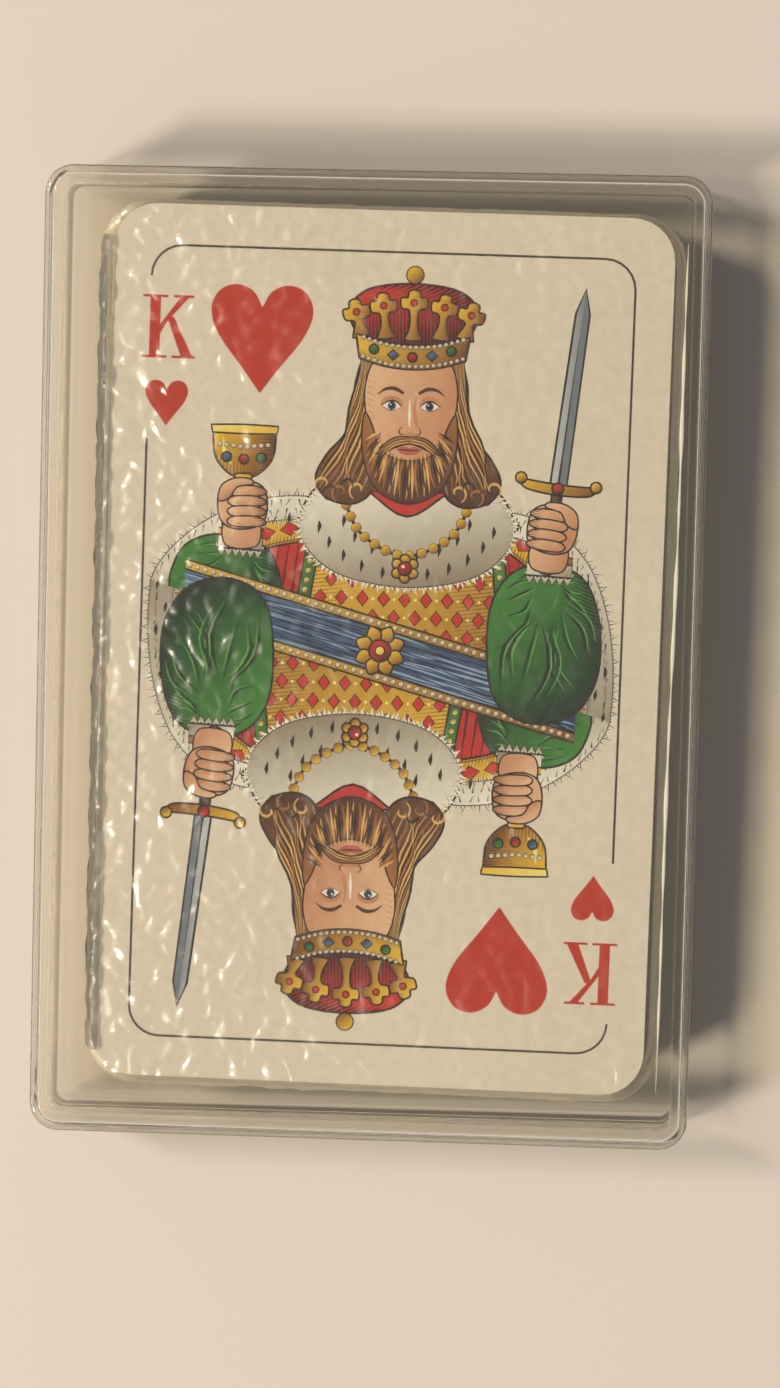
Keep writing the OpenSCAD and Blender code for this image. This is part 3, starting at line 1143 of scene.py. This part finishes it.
def drawSleeve(sheet, outline, cloth, cuff, fine):
    shape = curve(outline)
    shaded(sheet, shape, cloth, -50, 0.16)
    line = np.array(cuff, float)
    way = (line[1] - line[0]) / np.linalg.norm(line[1] - line[0])
    up = across(way)
    if fine:
        engrave(sheet, shape, cloth + "Dark", 160, 0.34)
        engrave(sheet, shape, cloth + "Dark", 100, 0.26)
        gather = line.mean(0) - up * 1.2
        for k, spot in enumerate(grow(shape, -0.5)[::2]):
            bow = across(spot - gather) * 0.12 * math.sin(k)
            near = gather + (spot - gather) * 0.3
            far = gather + (spot - gather) * (0.86 + 0.1 * math.sin(k * 1.9))
            fold = openCurve([near, (near + far) / 2 + bow, far], 4)
            pen(sheet, fold, [0.05, 0.36, 0.04], "line" if k % 3 == 0 else cloth + "Dark")
            fold = fold + way * 0.32
            pen(sheet, fold[1:-1], [0.04, 0.16, 0.04], cloth + "Light")
        lean = math.degrees(math.atan2(way[1], way[0]))
        for k in range(6):
            spot = line[0] + (line[1] - line[0]) * (k + 0.5) / 6 - up * 0.75
            shaded(sheet, moved([(-0.65, 0.4), (0, -0.95), (0.65, 0.4)], *spot, lean), "ermine", -90, 0.1)
            ink(sheet, disc(*(spot - up * 0.05), 0.16, 6), "line")
    shaded(sheet, band(line, 1.5), "ermine", -60, 0.14)
    shaded(sheet, band(line + up * 0.95, 0.75), "gold", -60, 0.12)


def drawFist(sheet, x, y, turn, flip):
    def put(points):
        return moved(np.array(points, float) * (flip, 1), x, y, turn)
    shaded(sheet, put(curve([(-1.7, -1.6), (1.7, -1.6), (1.6, -4.2), (-1.6, -4.2)])), "skin", -30, 0.12)
    palm = curve([(-2.3, -1.6), (0, -2.5), (2.0, -1.9), (2.6, 0.2), (2.0, 2.1), (-0.8, 2.5), (-2.4, 1.4)])
    shaded(sheet, put(palm), "skin", -30)
    for k in range(4):
        low = 1.45 - 1.05 * k
        finger = put(curve([(-2.35, low + 0.2), (-1.2, low + 0.58), (0.9, low + 0.5), (1.55, low),
                            (0.9, low - 0.5), (-1.2, low - 0.52), (-2.35, low - 0.25)]))
        shaded(sheet, finger, "skin", -60, 0.12)
        hatch(sheet, grow(finger, -0.08), "hairDark", turn + (180 if flip < 0 else 0), 0.17, 0.09, 0.3)
        ink(sheet, put(stroke([(-0.1, low - 0.2), (0.8, low - 0.22)], [0.05, 0.1])), "skinDark")
    thumb = curve([(2.5, 0.4), (2.3, 1.9), (1.0, 2.75), (-0.7, 2.75), (-1.0, 2.2), (0.6, 1.85), (1.4, 0.7)])
    shaded(sheet, put(thumb), "skin", -60, 0.12)


def drawSword(sheet):
    def put(points):
        return moved(points, 17.4, 13.6, -6)
    blade = [(-0.85, 4.4), (0.85, 4.4), (0.72, 22.0), (0, 24.6), (-0.72, 22.0)]
    shaded(sheet, put(blade), "steel", 0, 0.16)
    ink(sheet, put([(0, 4.4), (0.78, 4.4), (0.64, 22.0), (0, 24.3)]), "steelDark")
    ink(sheet, put(stroke([(0, 4.4), (0, 19.5)], [0.22, 0.04])), "line")
    outlined(sheet, put(band([(0, -3.6), (0, 3.8)], 1.1)), "goldDark", "line", 0, 0.12)
    guard = curve([(-4.0, 4.5), (-3.3, 3.5), (0, 3.2), (3.3, 3.5), (4.0, 4.5), (3.0, 4.4), (0, 4.3),
                   (-3.0, 4.4)])
    shaded(sheet, put(guard), "gold", -60, 0.14)
    for x, y, radius, steps, colour in ((-3.9, 4.5, 0.6, 10, "gold"), (3.9, 4.5, 0.6, 10, "gold"),
                                        (0, 3.85, 0.62, 10, "crimson"), (0, -4.1, 1.05, 12, "gold"),
                                        (0, -4.1, 0.45, 8, "blue")):
        shaded(sheet, put(disc(x, y, radius, steps)), colour)


def drawCup(sheet, fine):
    def put(points):
        return moved(points, -14.8, 15.0)
    bowl = put(curve(mirrored([(0, 2.4), (1.6, 2.9), (3.0, 4.6), (3.3, 7.2, 1), (0, 7.5)])))
    shaded(sheet, bowl, "gold", -25, 0.15)
    if fine:
        engrave(sheet, bowl, "goldDark", 184, 0.5, 0.28)
        hatch(sheet, bowl, "goldDark", 90, 0.36, 0.16, 0.5)
        ink(sheet, put(stroke([(-2.2, 6.6), (-2.1, 5.2), (-1.3, 3.8)], [0.1, 0.42, 0.1])), "goldLight")
    rim = curve(mirrored([(0, 7.0), (3.35, 7.05, 1), (3.5, 7.85, 1), (0, 7.95)]))
    outlined(sheet, put(rim), "goldLight", "gold", -25, 0.13)
    beads(sheet, put([(-2.9, 5.9), (0, 5.6), (2.9, 5.9)]), 0.24, 0.72, "ermine", "ermineDark")
    for x, y, colour in ((-1.8, 4.55, "blue"), (0, 4.35, "crimson"), (1.8, 4.55, "green")):
        shaded(sheet, put(disc(x, y, 0.52, 10)), colour)
    stem = curve(mirrored([(0, 2.9), (0.9, 2.7), (0.6, 1.5), (0.6, -3.0), (1.9, -3.9, 1), (0, -4.1)]))
    shaded(sheet, put(stem), "gold", -25, 0.14)


def drawSash(sheet, colour, fine):
    turn = math.radians(figureSettings["sashTurn"])
    slope = math.tan(turn)
    rise = figureSettings["sashHalf"] / math.cos(turn)
    end = figureSettings["sashReach"]

    def strip(low, high):
        return np.array([(-end, -end * slope + low), (end, end * slope + low), (end, end * slope + high),
                         (-end, -end * slope + high)], float)
    shaded(sheet, strip(-rise, rise), colour, -90, 0.18)
    if fine:
        tones = (colour + "Light", colour + "Dark", colour + "Light", colour + "Dark", "line")
        for k in range(figureSettings["sashStrokes"]):
            track = (k % 19) / 9 - 1
            x = end * (2 * (k * 0.618 % 1) - 1)
            reach = 3.4 + 2.0 * math.sin(k * 0.77)
            spots = np.clip([x - reach, x, x + reach], -end, end)
            line = np.stack([spots, spots * slope + rise * 0.9 * track + 0.1 * np.sin(spots + k)], 1)
            pen(sheet, line, [0.03, 0.2, 0.03], tones[(k % 19 + k // 38) % len(tones)])
    for edge in (1, -1):
        shaded(sheet, strip(edge * rise - 0.5, edge * rise + 0.5), "gold", -90, 0.14)
        if fine:
            middle = [(-end, -end * slope + edge * rise), (end, end * slope + edge * rise)]
            beads(sheet, middle, 0.26, 0.86, "ermine", "ermineDark")
    for k in range(8):
        a = math.radians(45 * k + 22.5)
        petal = moved(curve([(0.8, 0), (1.7, 0.8), (2.7, 0), (1.7, -0.8)]), 0, 0, math.degrees(a))
        shaded(sheet, petal, "gold")
    shaded(sheet, disc(0, 0, 1.15, 16), "crimson", -60, 0.14)
    outlined(sheet, disc(0, 0, 0.5, 10), "goldLight", "gold", -60, 0.1)


def addBothWays(sheet, half, clipped):
    for way, turn in ((1, 0.0), (-1, math.pi)):
        for points, light, dark, angle, side in half:
            sheet.append((way * points, light, dark, angle + turn, way if clipped else side))


def courtFigure(sheet, rank, suit, fine):
    mantle, sleeve, sash = courtCloths[suit]
    half = []
    drawMantle(half, mantle, fine)
    drawTunic(half, mantle, fine)
    drawCollar(half, fine)
    drawHair(half, fine)
    drawFace(half, rank == "king", fine)
    drawCrown(half, mantle, fine)
    drawSleeve(half, [(-21.8, 5.0), (-21.4, 9.2), (-19.0, 11.2), (-15.0, 11.4), (-11.6, 9.6), (-10.8, 5.0),
                      (-16, 2)], sleeve, [(-17.2, 10.9), (-12.6, 10.7)], fine)
    drawCup(half, fine)
    drawFist(half, -14.8, 14.6, 0, -1)
    addBothWays(sheet, half, True)
    drawSash(sheet, sash, fine)
    arm = []
    drawSleeve(arm, [(11.4, -2.6), (11.2, 4.4), (13.2, 8.4), (16.8, 9.6), (20.6, 8.4), (22.5, 4.4),
                     (22.7, -1.5), (20.6, -5.6), (16.8, -7.0), (13.2, -5.9)],
               sleeve, [(14.9, 9.2), (19.6, 9.0)], fine)
    if rank == "king":
        drawSword(arm)
    drawFist(arm, 17.4, 13.2, -6, 1)
    addBothWays(sheet, arm, False)


# Card faces and backs

faceSettings = {
    "frameHalf": (25.0, 41.2),
    "frameCorner": 3.2,
    "frameLine": 0.24,
    "frameGap": 21.2,
    "indexAt": (-23.1, 32.8),
    "smallSignAt": (-23.05, 24.9),
    "smallSign": 4.7,
    "bigSignAt": (-13.4, 31.8),
    "bigSign": 11.2,
    "aceSign": 22,
    "pipSign": 9.4,
    "pipColumn": 11.5,
    "backMargin": 3.2,
    "backCorner": 2.2,
    "backLine": (0.7, 1.2),  # the pale line runs between these distances from the panel's edge
    "latticeGap": 4.3,
    "latticeMargin": 6,
    "latticeHalf": 1.55,
    "latticeDot": 0.5,
}
pipRows = {  # heights in the two outer columns and in the middle one
    "seven": ((27, 0, -27), (13.5,)),
    "eight": ((27, 0, -27), (13.5, -13.5)),
    "nine": ((28, 9.4, -9.4, -28), (0,)),
    "ten": ((28, 9.4, -9.4, -28), (18.7, -18.7)),
}
rankIndex = {"ace": "A", "seven": "7", "eight": "8", "nine": "9", "ten": "10", "jack": "J", "queen": "Q",
             "king": "K"}
cardEnds = ((1, 0), (-1, 180))  # the side of the middle, and how far its signs are turned


def courtFrame(sheet):
    halfW, halfL = faceSettings["frameHalf"]
    r = faceSettings["frameCorner"]
    turns = np.linspace(0, math.pi / 2, 7)
    path = [(-halfW, faceSettings["frameGap"])]
    path += [(-halfW + r - r * math.cos(a), -halfL + r - r * math.sin(a)) for a in turns]
    path += [(halfW - r + r * math.sin(a), -halfL + r - r * math.cos(a)) for a in turns]
    line = band(path, faceSettings["frameLine"])
    for way in (1, -1):
        ink(sheet, way * line, "frame")


def cardFace(rank, suit, fine):
    sheet = []
    f = faceSettings
    for way, turn in cardEnds:
        indexSign(sheet, rankIndex[rank], suit, *[way * c for c in f["indexAt"]], turn)
        suitSign(sheet, suit, *[way * c for c in f["smallSignAt"]], f["smallSign"], turn)
    if rank in ("jack", "queen", "king"):
        courtFrame(sheet)
        for way, turn in cardEnds:
            suitSign(sheet, suit, *[way * c for c in f["bigSignAt"]], f["bigSign"], turn)
        courtFigure(sheet, rank, suit, fine)
    elif rank == "ace":
        suitSign(sheet, suit, 0, 0, f["aceSign"])
    else:
        outer, middle = pipRows[rank]
        spots = [(side * f["pipColumn"], y) for y in outer for side in (1, -1)] + [(0, y) for y in middle]
        for x, y in spots:
            suitSign(sheet, suit, x, y, f["pipSign"], 180 if y < 0 else 0)
    return sheet


def cardBack():
    sheet = []
    f = faceSettings
    width, length = (deckSettings[side] - 2 * f["backMargin"] for side in ("width", "length"))
    panel = roundedRing(width, length, f["backCorner"], 6)
    ink(sheet, panel, "backInk")
    for inset, colour in zip(f["backLine"], ("paper", "backInk")):
        ink(sheet, grow(panel, -inset), colour)
    gap = f["latticeGap"]
    countX, countY = (int((side - f["latticeMargin"]) / gap) for side in (width, length))
    for i in range(countX + 1):
        for j in range(countY + 1):
            x, y = (i - countX / 2) * gap, (j - countY / 2) * gap
            ink(sheet, lozenge(x, y, f["latticeHalf"], f["latticeHalf"]), "paper")
    for i in range(countX):
        for j in range(countY):
            x, y = (i + 0.5 - countX / 2) * gap, (j + 0.5 - countY / 2) * gap
            ink(sheet, disc(x, y, f["latticeDot"], 6), "paper")
    return sheet


# From drawn areas to a mesh whose edges follow the print

def insideOf(spots, outline):
    a, b = outline, np.roll(outline, -1, 0)
    x, y = spots[:, :1], spots[:, 1:]
    cross = (b[:, 0] - a[:, 0]) * (y - a[:, 1]) - (x - a[:, 0]) * (b[:, 1] - a[:, 1])
    up = (a[:, 1] <= y) & (b[:, 1] > y) & (cross > 0)
    down = (a[:, 1] > y) & (b[:, 1] <= y) & (cross < 0)
    return up.sum(1) != down.sum(1)


def cutSheet(coords, edges, rimCount):
    # triangles whose edges follow every given edge, and where the rim's points went
    cut = delaunay_2d_cdt([Vector(p) for p in coords], edges, [], 0, 1e-4, True)
    spots = np.array([tuple(v) for v in cut[0]])
    triangles = np.array([tuple(f) for f in cut[2]])
    corners = spots[triangles]
    area = np.cross(corners[:, 1] - corners[:, 0], corners[:, 2] - corners[:, 0])
    triangles[area < 0] = triangles[area < 0][:, ::-1]
    triangles = triangles[np.abs(area) > 1e-9]
    rimAt = {source: place for place, sources in enumerate(cut[3]) for source in sources if source < rimCount}
    return spots, triangles, [rimAt[k] for k in range(rimCount)]


def topInk(spots, triangles, sheet, slope):
    # which drawn area lies on top of each triangle
    middles = spots[triangles].mean(1)
    order = np.argsort(middles[:, 1])
    middles = middles[order]
    above = middles[:, 1] > middles[:, 0] * slope
    owner = np.full(len(triangles), -1)
    for index, (points, *_, side) in enumerate(sheet):
        low, high = points.min(0), points.max(0)
        first, last = np.searchsorted(middles[:, 1], (low[1], high[1]))
        near = (middles[first:last, 0] >= low[0]) & (middles[first:last, 0] <= high[0])
        if side:
            near &= above[first:last] == (side > 0)
        near = np.nonzero(near)[0] + first
        if len(near):
            owner[near[insideOf(middles[near], points)]] = index
    unsorted = np.empty_like(owner)
    unsorted[order] = owner
    return unsorted


def inkBorders(triangles, owner):
    # edges between triangles of different inks
    pairs = np.sort(np.vstack([triangles[:, [0, 1]], triangles[:, [1, 2]], triangles[:, [2, 0]]]), axis=1)
    owners = np.tile(owner, 3)
    order = np.lexsort((pairs[:, 1], pairs[:, 0]))
    pairs, owners = pairs[order], owners[order]
    same = np.all(pairs[:-1] == pairs[1:], axis=1)
    return pairs[:-1][same & (owners[:-1] != owners[1:])]


def paintSheet(rim, sheet):
    # cuts the card along every drawn edge, then again along those that still show, and inks each triangle
    rimSpots = [tuple(p) for p in rim]
    rimEdges = [(k, (k + 1) % len(rim)) for k in range(len(rim))]
    coords, edges = list(rimSpots), list(rimEdges)
    for points, *_ in sheet:
        first, count = len(coords), len(points)
        coords.extend(tuple(p) for p in np.round(points, 3))
        edges.extend((first + k, first + (k + 1) % count) for k in range(count))
    slope = math.tan(math.radians(figureSettings["sashTurn"]))
    if any(side for *_, side in sheet):
        half = figureSettings["cutReach"]
        edges.append((len(coords), len(coords) + 1))
        coords.extend([(-half, -half * slope), (half, half * slope)])
    spots, triangles, _ = cutSheet(coords, edges, len(rim))
    borders = inkBorders(triangles, topInk(spots, triangles, sheet, slope))
    used = np.unique(borders)
    renumber = np.searchsorted(used, borders) + len(rim)
    coords = rimSpots + [tuple(p) for p in spots[used]]
    edges = rimEdges + [tuple(pair) for pair in renumber.tolist()]
    spots, triangles, rimAt = cutSheet(coords, edges, len(rim))
    owner = topInk(spots, triangles, sheet, slope)
    colours = np.empty((len(triangles), 3, 3))
    colours[:] = inks["paper"]
    order = np.argsort(owner, kind="stable")
    starts = np.searchsorted(owner[order], np.arange(len(sheet) + 1))
    for index, (points, light, dark, angle, _) in enumerate(sheet):
        mine = order[starts[index]:starts[index + 1]]
        if not len(mine):
            continue
        way = np.array([math.cos(angle), math.sin(angle)])
        reach = points @ way
        share = (spots[triangles[mine]] @ way - reach.min()) / (np.ptp(reach) + 1e-9)
        colours[mine] = light + (dark - light) * np.clip(share, 0, 1)[..., None]
    return spots, triangles, colours, rimAt


cardSettings = {
    "rimInset": 0.05,  # the cut edge bulges by this much, so the cards show in the stack
    "cornerSteps": 8,
    "fineCard": "king_of_hearts",
    "fibreScale": 900.0,
    "cloudScale": 70.0,
    "noiseSpan": (0.3, 0.7),
    "fibreShade": (0.94, 1.03),
    "cloudShade": (0.97, 1.01),
}


def printedCard():
    material, tree, shader = newMaterial("printedCard")
    c = cardSettings
    fibre = objectNoise(tree, c["fibreScale"], 3.0)
    cloud = objectNoise(tree, c["cloudScale"], 2.0)
    grain = ranged(tree, fibre, c["noiseSpan"], c["fibreShade"])
    patch = ranged(tree, cloud, c["noiseSpan"], c["cloudShade"])
    both = wire(tree, "ShaderNodeMath", {0: grain, 1: patch}, operation="MULTIPLY")
    inked = wire(tree, "ShaderNodeVertexColor", layer_name="ink")
    tone = wire(tree, "ShaderNodeVectorMath", {0: inked, "Scale": both}, operation="SCALE")
    linen = wire(tree, "ShaderNodeBump", {"Strength": 0.15, "Distance": 0.00002, "Height": fibre})
    feed(tree, shader, {"Base Color": tone, "Roughness": 0.45, "Specular IOR Level": 0.35, "Normal": linen})
    return material


def cardRing(inset):
    width, length, corner = (deckSettings[size] for size in ("width", "length", "corner"))
    return roundedRing(width - 2 * inset, length - 2 * inset, corner - inset, cardSettings["cornerSteps"])


def cardPiece(node, front, back, material):
    low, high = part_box(node)
    bottom, top = low.z / mm, high.z / mm
    ring = cardRing(0)
    frontSpots, frontTriangles, frontColours, frontRim = front
    backSpots, backTriangles, backColours, backRim = back
    layers = ((frontSpots, top), (backSpots, bottom), (ring, (top + bottom) / 2))
    verts = np.vstack([toWorld(spots, height) for spots, height in layers])
    backStart = len(frontSpots)
    ringStart = backStart + len(backSpots)
    faces = [tuple(t) for t in frontTriangles]
    faces += [tuple(t[::-1] + backStart) for t in backTriangles]
    count = len(ring)
    for k in range(count):
        after = (k + 1) % count
        faces.append((ringStart + k, ringStart + after, frontRim[after], frontRim[k]))
        faces.append((backStart + backRim[k], backStart + backRim[after], ringStart + after, ringStart + k))
    piece = newPiece(node + "_card", verts, faces, material)
    rgba = np.ones((len(piece.data.loops), 4), np.float32)
    rgba[:, :3] = np.vstack([frontColours.reshape(-1, 3), backColours[:, ::-1].reshape(-1, 3),
                             np.tile(inks["edge"], (8 * count, 1))])
    layer = piece.data.color_attributes.new("ink", "FLOAT_COLOR", "CORNER")
    layer.data.foreach_set("color", rgba.ravel())
    return piece


def buildCards():
    material = printedCard()
    rim = cardRing(cardSettings["rimInset"])
    back = paintSheet(rim, cardBack())
    bodyOf = {node: body for body, nodes in frame["record"]["behaviour"]["bodies"].items() for node in nodes}
    total = 0
    for node in sorted(frame["nodes"]):
        if "_of_" not in node:
            continue
        fine = node == cardSettings["fineCard"]
        sheet = cardFace(*node.split("_of_"), fine)
        piece = cardPiece(node, paintSheet(rim, sheet), back, material)
        seat(piece, bodyOf[node], "card_stock", node)
        total += len(piece.data.polygons)
        if fine:
            print("top card:", len(sheet), "inked areas,", len(piece.data.polygons), "faces")
    print("cards built:", total, "faces")


buildCards()
